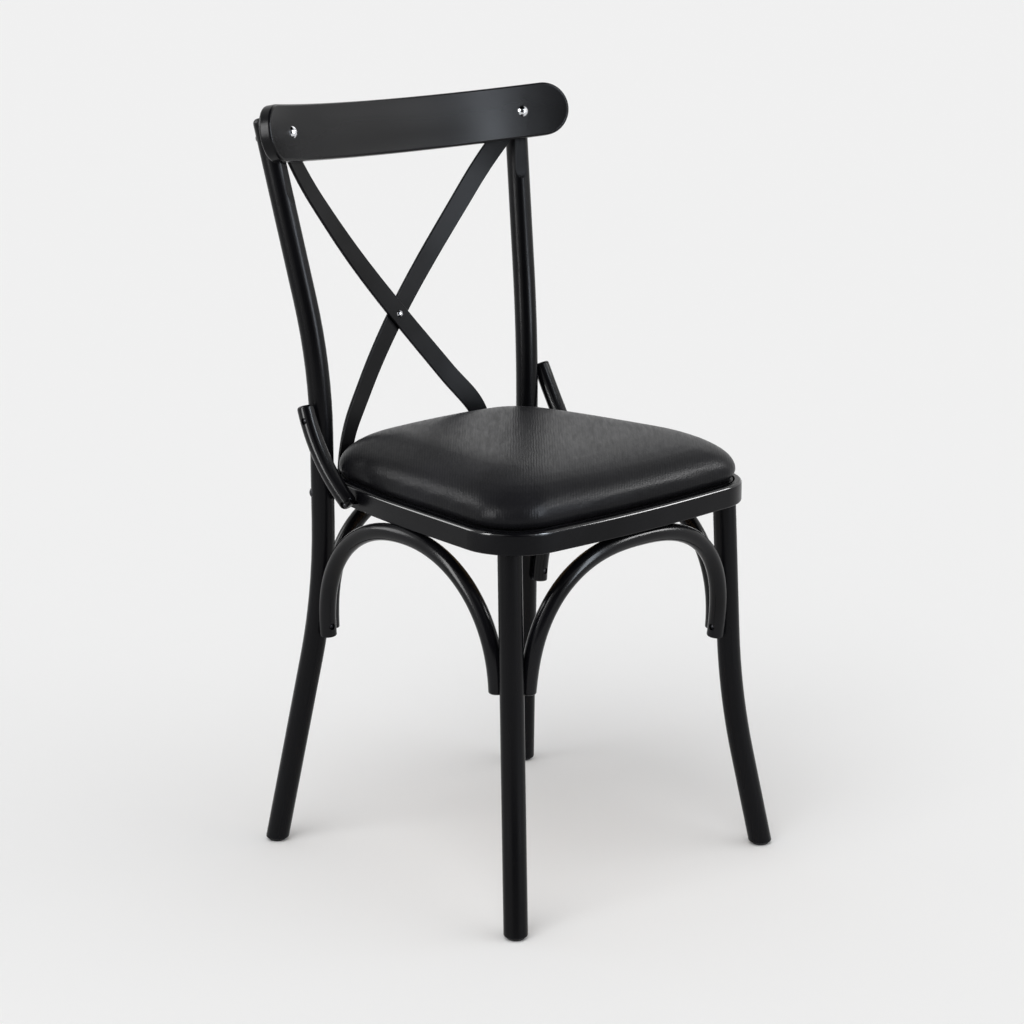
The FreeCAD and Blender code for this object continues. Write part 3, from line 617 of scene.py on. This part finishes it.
def deselect_all() -> None:
    """Leave nothing selected."""
    for held in bpy.context.selected_objects:
        held.select_set(False)


def take_up(piece: bpy.types.Object) -> None:
    """Select one piece alone and make it active.

    Args:
        piece: the piece to work on.
    """
    deselect_all()
    piece.select_set(True)
    bpy.context.view_layer.objects.active = piece


def cad_copy(node: str, name: str) -> bpy.types.Object:
    """Copy a solid of the frame as a new piece with its faces joined up.

    Args:
        node: the solid's name.
        name: the new piece's name.

    Returns:
        The new piece, at the origin, closed.
    """
    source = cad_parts[node]
    piece = bpy.data.objects.new(name, source.data.copy())
    bpy.context.scene.collection.objects.link(piece)
    piece.data.transform(source.matrix_world)
    piece.data.materials.clear()
    take_up(piece)
    bpy.ops.mesh.customdata_custom_splitnormals_clear()
    bpy.ops.object.mode_set(mode="EDIT")
    bpy.ops.mesh.select_all(action="SELECT")
    bpy.ops.mesh.remove_doubles(threshold=WELD)
    bpy.ops.mesh.normals_make_consistent(inside=False)
    bpy.ops.object.mode_set(mode="OBJECT")
    return piece


def apply_modifier(piece: bpy.types.Object, kind: str, **settings: object) -> None:
    """Put one modifier on a piece and apply it.

    Args:
        piece: the piece to change.
        kind: the modifier's type name.
        settings: the modifier's properties by name.
    """
    take_up(piece)
    modifier = piece.modifiers.new(kind.title(), kind)
    for name, value in settings.items():
        setattr(modifier, name, value)
    bpy.ops.object.modifier_apply(modifier=modifier.name)


class SubAssembly:
    """A group of the chair's pieces that are made and finished together."""

    sides: tuple[str, ...] = ("left", "right")
    ends: tuple[str, ...] = ("rear", "front")

    def dress(self, names: list[str], finish: Finish) -> None:
        """Put a finish on solids of the frame.

        Args:
            names: the solids' names.
            finish: what they are finished in.
        """
        for name in names:
            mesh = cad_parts[name].data
            mesh.materials.clear()
            mesh.materials.append(finish.material())
            log.info("%s: %s", name, finish.title)

    def add(self, piece: bpy.types.Object, finish: Finish, slot: str) -> None:
        """Finish a new piece and let it ride with the chair.

        Args:
            piece: the new piece, in its place.
            finish: what it is finished in.
            slot: not used.
        """
        piece.data.materials.clear()
        piece.data.materials.append(finish.material())
        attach(piece, BODY)
        log.info("%s: %s, %d faces", piece.name, finish.title, len(piece.data.polygons))

    def build(self) -> None:
        """Make and dress every piece of the group."""
        raise NotImplementedError


@dataclass
class LegFrame(SubAssembly):
    """The four legs, the arches under the seat ring and the two side braces."""

    arches: tuple[str, ...] = ("front", "rear", "left", "right")
    arch_screws: tuple[str, ...] = ("a", "b", "top")
    brace_screws: tuple[str, ...] = ("high", "low")

    def build(self) -> None:
        """Lacquer the rods and blacken their screws."""
        legs = [f"{end}_leg_{side}" for end in self.ends for side in self.sides]
        arches = [f"arch_{arch}" for arch in self.arches]
        braces = [f"brace_{side}" for side in self.sides]
        glides = [f"glide_{end}_{side}" for end in self.ends for side in self.sides]
        self.dress(legs, ROD_LACQUER)
        self.dress(arches + braces, ARCH_LACQUER)
        screws = [f"{arch}_screw_{mark}" for arch in arches for mark in self.arch_screws]
        screws += [f"{brace}_screw_{mark}" for brace in braces for mark in self.brace_screws]
        screws += [f"leg_bolt_{side}" for side in self.sides]
        self.dress(screws, DARK_STEEL)
        self.dress(glides, GLIDE_NYLON)


@dataclass
class CrossBack(SubAssembly):
    """The curved top rail and the two crossing straps with their fixings."""

    straps: tuple[str, ...] = ("strap_front", "strap_rear")

    def build(self) -> None:
        """Lacquer the rail and the straps and plate the heads that show."""
        bolts = [f"rail_bolt_{side}" for side in self.sides]
        nuts = [f"rail_nut_{side}" for side in self.sides]
        self.dress(["top_rail"], RAIL_LACQUER)
        self.dress(list(self.straps), STRAP_LACQUER)
        self.dress(bolts + ["cross_screw", "cross_nut"], BRIGHT_STEEL)
        self.dress(nuts + [f"{strap}_screw" for strap in self.straps], DARK_STEEL)


@dataclass
class Seat(SubAssembly):
    """The seat ring, its board, and the crowned cushion in embossed vinyl.

    The foam's form is made slack, remeshed by voxel and blown up by pressure over a
    few frames. Each point's swell is capped, eased over its neighbours and taken at
    a share. A skirt keeps the lower edge even until it is cut off, and the tuck then
    draws that edge in.
    """

    voxel: float = 5.0 * MM
    slack: float = 2.0 * MM
    pressure: float = 4.0
    frames: int = 20
    swell_cap: float = 6.0 * MM
    swell_share: float = 0.35
    ease_passes: int = 40
    smoothing: int = 1
    skirt: float = 14.0 * MM
    underside: float = 0.1 * MM
    lift_off: float = 0.25 * MM
    hem_top: float = 0.2 * MM
    tuck: float = 5.0 * MM
    tuck_height: float = 13.0 * MM
    tuck_power: int = 2
    crown_angle_deg: float = 50.0
    fold_angle_deg: float = 40.0
    fill: float = 0.85

    def build(self) -> None:
        """Make the cushion, its hem and its lining and dress the rest."""
        self.dress(["seat_ring"], RING_LACQUER)
        self.dress(["seat_board"], BOARD_PLY)
        screws = [f"seat_screw_{end}_{side}" for end in self.ends for side in self.sides]
        self.dress(screws, DARK_STEEL)
        cushion = self.cushion()
        hem = self.hem()
        for piece in (cushion, hem, self.lining()):
            self.add(piece, SEAT_VINYL, "cover")
        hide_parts("seat_foam")
        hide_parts("seat_cover")

    def cushion(self) -> bpy.types.Object:
        """Inflate the foam block inside its cover.

        Returns:
            The closed cushion, seated on the board.
        """
        form = cad_copy("seat_foam", "seat_cushion")
        self.let_down(form)
        apply_modifier(form, "DISPLACE", strength=-self.slack, mid_level=0.0)
        apply_modifier(form, "REMESH", mode="VOXEL", voxel_size=self.voxel)
        self.inflate(form)
        apply_modifier(form, "SUBSURF", levels=self.smoothing, render_levels=self.smoothing)
        self.trim(form)
        self.seat_down(form)
        bpy.ops.object.shade_smooth_by_angle(angle=math.radians(self.crown_angle_deg))
        return form

    def let_down(self, form: bpy.types.Object) -> None:
        """Lengthen the form's sides by a skirt, which is trimmed off again.

        Args:
            form: the foam block.
        """
        floor = min(vertex.co.z for vertex in form.data.vertices)
        for vertex in form.data.vertices:
            if vertex.co.z < floor + self.underside:
                vertex.co.z -= self.skirt
        form.data.update()

    def trim(self, form: bpy.types.Object) -> None:
        """Cut the skirt off flat and close the underside.

        Args:
            form: the filled cushion with its skirt.
        """
        floor = min(vertex.co.z for vertex in form.data.vertices)
        take_up(form)
        bpy.ops.object.mode_set(mode="EDIT")
        bpy.ops.mesh.select_all(action="SELECT")
        bpy.ops.mesh.bisect(
            plane_co=(0.0, 0.0, floor + self.skirt), plane_no=(0.0, 0.0, 1.0),
            clear_inner=True, use_fill=True,
        )
        bpy.ops.object.mode_set(mode="OBJECT")

    def inflate(self, form: bpy.types.Object) -> None:
        """Swell the form along its normals by an eased share of what air pressure gives it.

        Args:
            form: the slack cushion with its skirt.
        """
        start = [vertex.co.copy() for vertex in form.data.vertices]
        self.blow_up(form, start)
        moves = [
            min((vertex.co - before).length, self.swell_cap)
            for vertex, before in zip(form.data.vertices, start)
        ]
        for vertex, before in zip(form.data.vertices, start):
            vertex.co = before
        form.data.update()
        moves = self.eased(form, moves)
        middle = sum(moves) / len(moves)
        outward = [vertex.normal.copy() for vertex in form.data.vertices]
        for vertex, direction, move in zip(form.data.vertices, outward, moves):
            vertex.co += direction * (move - middle) * self.swell_share
        form.data.update()

    def blow_up(self, form: bpy.types.Object, start: list[Vector]) -> None:
        """Let air pressure fill the form as cloth, with its skirt held still.

        Args:
            form: the slack cushion with its skirt.
            start: where its points are before.
        """
        floor = min(point.z for point in start)
        low_points = [i for i, point in enumerate(start) if point.z < floor + self.skirt]
        held = form.vertex_groups.new(name="held")
        held.add(low_points, 1.0, "REPLACE")
        cloth = form.modifiers.new("Inflate", "CLOTH")
        cloth.settings.vertex_group_mass = held.name
        cloth.settings.use_pressure = True
        cloth.settings.uniform_pressure_force = self.pressure
        cloth.settings.effector_weights.gravity = 0.0
        scene = bpy.context.scene
        for step in range(1, self.frames + 1):
            scene.frame_set(step)
        take_up(form)
        bpy.ops.object.modifier_apply(modifier=cloth.name)
        scene.frame_set(1)
        form.vertex_groups.clear()

    def eased(self, form: bpy.types.Object, moves: list[float]) -> list[float]:
        """Spread each point's swell over its neighbours, half way to their mean at each pass.

        Args:
            form: the cushion whose edges join the points.
            moves: how far each point swelled.

        Returns:
            The evened-out swell of each point.
        """
        beside: list[list[int]] = [[] for _ in moves]
        for edge in form.data.edges:
            first, last = edge.vertices
            beside[first].append(last)
            beside[last].append(first)
        for _ in range(self.ease_passes):
            moves = [
                (moves[i] + sum(moves[j] for j in near) / len(near)) / 2
                for i, near in enumerate(beside)
            ]
        return moves

    def seat_down(self, form: bpy.types.Object) -> None:
        """Set the form on the board at the cover's height, with its lower edge drawn in.

        Args:
            form: the filled cushion.
        """
        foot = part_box("seat_board")[1].z + self.lift_off
        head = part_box("seat_cover")[1].z
        low = min(vertex.co.z for vertex in form.data.vertices)
        high = max(vertex.co.z for vertex in form.data.vertices)
        wide_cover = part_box("seat_cover")[1].x
        wide_form = max(abs(vertex.co.x) for vertex in form.data.vertices)
        across = wide_cover / wide_form
        for vertex in form.data.vertices:
            height = (vertex.co.z - low) * (head - foot) / (high - low)
            depth = max(0.0, 1 - height / self.tuck_height)
            drawn = across * (1 - self.tuck / wide_cover * depth ** self.tuck_power)
            vertex.co.x *= drawn
            vertex.co.y *= drawn
            vertex.co.z = foot + height

    def hem(self) -> bpy.types.Object:
        """Cut the tucked lower edge of the cover free of its crown.

        Returns:
            The band that goes down beside the board and folds in under it.
        """
        band = cad_copy("seat_cover", "seat_hem")
        self.cut_above(band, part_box("seat_board")[1].z + self.hem_top)
        return band

    def lining(self) -> bpy.types.Object:
        """Cut a thin slice of the foam's underside, for the vinyl drawn in over the board.

        Returns:
            The thin closed sheet between the board and the cushion.
        """
        sheet = cad_copy("seat_foam", "seat_lining")
        self.cut_above(sheet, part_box("seat_board")[1].z + self.hem_top)
        return sheet

    def cut_above(self, piece: bpy.types.Object, cut: float) -> None:
        """Take away what lies above a height and close the cut.

        Args:
            piece: the piece to cut.
            cut: the height of the cut.
        """
        take_up(piece)
        bpy.ops.object.mode_set(mode="EDIT")
        bpy.ops.mesh.select_all(action="SELECT")
        bpy.ops.mesh.bisect(
            plane_co=(0.0, 0.0, cut), plane_no=(0.0, 0.0, 1.0), clear_outer=True, use_fill=True,
        )
        bpy.ops.object.mode_set(mode="OBJECT")
        bpy.ops.object.shade_smooth_by_angle(angle=math.radians(self.fold_angle_deg))


@dataclass(frozen=True)
class Sun:
    """One wide, even light, by its bearing from the chair's front and its height in the sky."""

    bearing_deg: float
    height_deg: float
    strength: float
    spread_deg: float


@dataclass(frozen=True)
class Panel:
    """An upright softbox or card that faces the chair and only shows as a reflection."""

    name: str
    bearing_deg: float
    low_z: float
    high_z: float
    width: float
    strength: float
    distance: float = 3.0
    tint: str = "#ffffff"


@dataclass
class Studio:
    """The pale floor, the soft light and the reflections that shape the rods and the cushion."""

    floor_size: float = 120.0
    paper: str = "#f0f0f0"
    paper_strength: float = 1.0
    light: str = "#ffffff"
    ambient: float = 0.58
    suns: tuple[Sun, ...] = (
        Sun(bearing_deg=-70.0, height_deg=50.0, strength=1.2, spread_deg=50.0),
        Sun(bearing_deg=35.0, height_deg=40.0, strength=0.5, spread_deg=60.0),
    )
    panels: tuple[Panel, ...] = (
        Panel("softbox_left", -100.0, low_z=0.55, high_z=3.3, width=0.8, strength=18.0),
        Panel(
            "softbox_right", 15.0, low_z=0.55, high_z=3.3, width=0.8, strength=20.0, tint="#e6eef8",
        ),
        Panel("softbox_far_right", 50.0, low_z=1.45, high_z=2.5, width=1.2, strength=25.0),
        Panel("softbox_back_right", 118.0, low_z=2.0, high_z=3.6, width=1.8, strength=2.4),
        Panel("softbox_far_left", -148.0, low_z=1.3, high_z=2.7, width=1.2, strength=8.0),
        Panel("black_card", -38.0, low_z=0.1, high_z=3.3, width=3.4, strength=0.0, distance=3.3),
        Panel("grey_card", 50.0, low_z=0.83, high_z=1.35, width=0.9, strength=0.8, distance=0.8),
    )
    ceiling_place: tuple[float, float, float] = (-0.5, -0.5, 3.4)
    ceiling_size: float = 4.0

    def build(self) -> None:
        """Lay the floor, hang the lights and set how the picture is shown."""
        scene = bpy.context.scene
        scene.view_settings.view_transform = "Standard"
        self.lay_floor()
        for number, sun in enumerate(self.suns):
            self.hang_sun(f"sun_{number}", sun)
        for panel in self.panels:
            self.stand_panel(panel)
        self.hang_ceiling()
        self.fill_world(scene)

    def lay_floor(self) -> None:
        """Roll out the studio paper."""
        deselect_all()
        bpy.ops.mesh.primitive_plane_add(size=self.floor_size, location=(0.0, 0.0, 0.0))
        floor = bpy.context.active_object
        floor.name = "studio_floor"
        floor.data.materials.append(StudioPaper("studio paper").material())

    def hang_sun(self, name: str, sun: Sun) -> None:
        """Hang one wide, even light, which leaves no mirror image.

        Args:
            name: the lamp's name.
            sun: its place, strength and spread.
        """
        lamp = bpy.data.lights.new(name, "SUN")
        lamp.energy = sun.strength
        lamp.angle = math.radians(sun.spread_deg)
        holder = bpy.data.objects.new(name, lamp)
        bpy.context.scene.collection.objects.link(holder)
        bearing, height = math.radians(sun.bearing_deg), math.radians(sun.height_deg)
        level = math.cos(height)
        source = Vector((math.sin(bearing) * level, -math.cos(bearing) * level, math.sin(height)))
        holder.rotation_euler = source.to_track_quat("Z", "Y").to_euler()
        holder.visible_glossy = False

    def stand_panel(self, panel: Panel) -> None:
        """Stand one panel upright, facing the chair.

        Args:
            panel: its place, size and strength.
        """
        bearing = math.radians(panel.bearing_deg)
        middle = (panel.low_z + panel.high_z) / 2
        place = Vector((
            math.sin(bearing) * panel.distance, -math.cos(bearing) * panel.distance, middle,
        ))
        deselect_all()
        bpy.ops.mesh.primitive_plane_add(
            size=1.0, location=place, rotation=(math.pi / 2, 0.0, bearing),
        )
        cloth = bpy.context.active_object
        cloth.name = panel.name
        cloth.scale = (panel.width, panel.high_z - panel.low_z, 1.0)
        self.mirror_only(cloth, PanelGlow(f"glow of {panel.name}", panel.strength, panel.tint))

    def hang_ceiling(self) -> None:
        """Hang a dark ceiling, which darkens the slopes that look up."""
        deselect_all()
        bpy.ops.mesh.primitive_plane_add(size=self.ceiling_size, location=self.ceiling_place)
        ceiling = bpy.context.active_object
        ceiling.name = "dark_ceiling"
        self.mirror_only(ceiling, PanelGlow("dark ceiling", 0.0, self.light))

    def mirror_only(self, panel: bpy.types.Object, finish: Finish) -> None:
        """Let a panel of the studio show in reflections and nowhere else.

        Args:
            panel: the panel, in its place.
            finish: how it glows.
        """
        panel.data.materials.append(finish.material())
        panel.visible_camera = False
        panel.visible_diffuse = False
        panel.visible_shadow = False
        panel.visible_transmission = False

    def fill_world(self, scene: bpy.types.Scene) -> None:
        """Give the room an even light, and its own pale colour where it is looked at.

        Args:
            scene: the scene whose world is made.
        """
        scene.world = scene.world or bpy.data.worlds.new("studio")
        scene.world.use_nodes = True
        tree = scene.world.node_tree
        tree.nodes.clear()
        path = add_node(tree, "ShaderNodeLightPath")
        seen = add_node(tree, "ShaderNodeMath", {
            0: path.outputs["Is Camera Ray"], 1: path.outputs["Is Glossy Ray"],
        }, operation="ADD", use_clamp=True)
        shown = add_node(tree, "ShaderNodeMath", {
            0: seen.outputs[0], 1: path.outputs["Is Transmission Ray"],
        }, operation="ADD", use_clamp=True)
        even = add_node(tree, "ShaderNodeBackground", {
            "Color": linear(self.light), "Strength": self.ambient,
        })
        paper = add_node(tree, "ShaderNodeBackground", {
            "Color": linear(self.paper), "Strength": self.paper_strength,
        })
        mixed = add_node(tree, "ShaderNodeMixShader", {
            0: shown.outputs[0], 1: even.outputs[0], 2: paper.outputs[0],
        })
        add_node(tree, "ShaderNodeOutputWorld", {"Surface": mixed.outputs[0]})


@dataclass
class ViewingCamera:
    """The camera at the photograph's place."""

    place: tuple[float, float, float] = (-2.01357, -2.09558, 1.14496)
    target: tuple[float, float, float] = (-0.0232, -0.0209, 0.4131)
    lens_mm: float = 90.5
    sensor_mm: float = 36.0
    reach: float = 250.0

    def build(self) -> None:
        """Set the camera up and make it the scene's own."""
        camera = bpy.data.cameras.new("viewing_camera")
        camera.lens = self.lens_mm
        camera.sensor_width = self.sensor_mm
        camera.clip_end = self.reach
        holder = bpy.data.objects.new("viewing_camera", camera)
        bpy.context.scene.collection.objects.link(holder)
        sight = Vector(self.target) - Vector(self.place)
        holder.location = self.place
        holder.rotation_euler = sight.to_track_quat("-Z", "Y").to_euler()
        bpy.context.scene.camera = holder


def main() -> None:
    """Build the chair's groups in order, then the studio and the camera."""
    logging.basicConfig(level=logging.INFO, format="%(name)s: %(message)s")
    for group in (LegFrame(), CrossBack(), Seat()):
        log.info("%s", type(group).__name__)
        group.build()
    Studio().build()
    ViewingCamera().build()


if __name__ == "__main__":
    main()
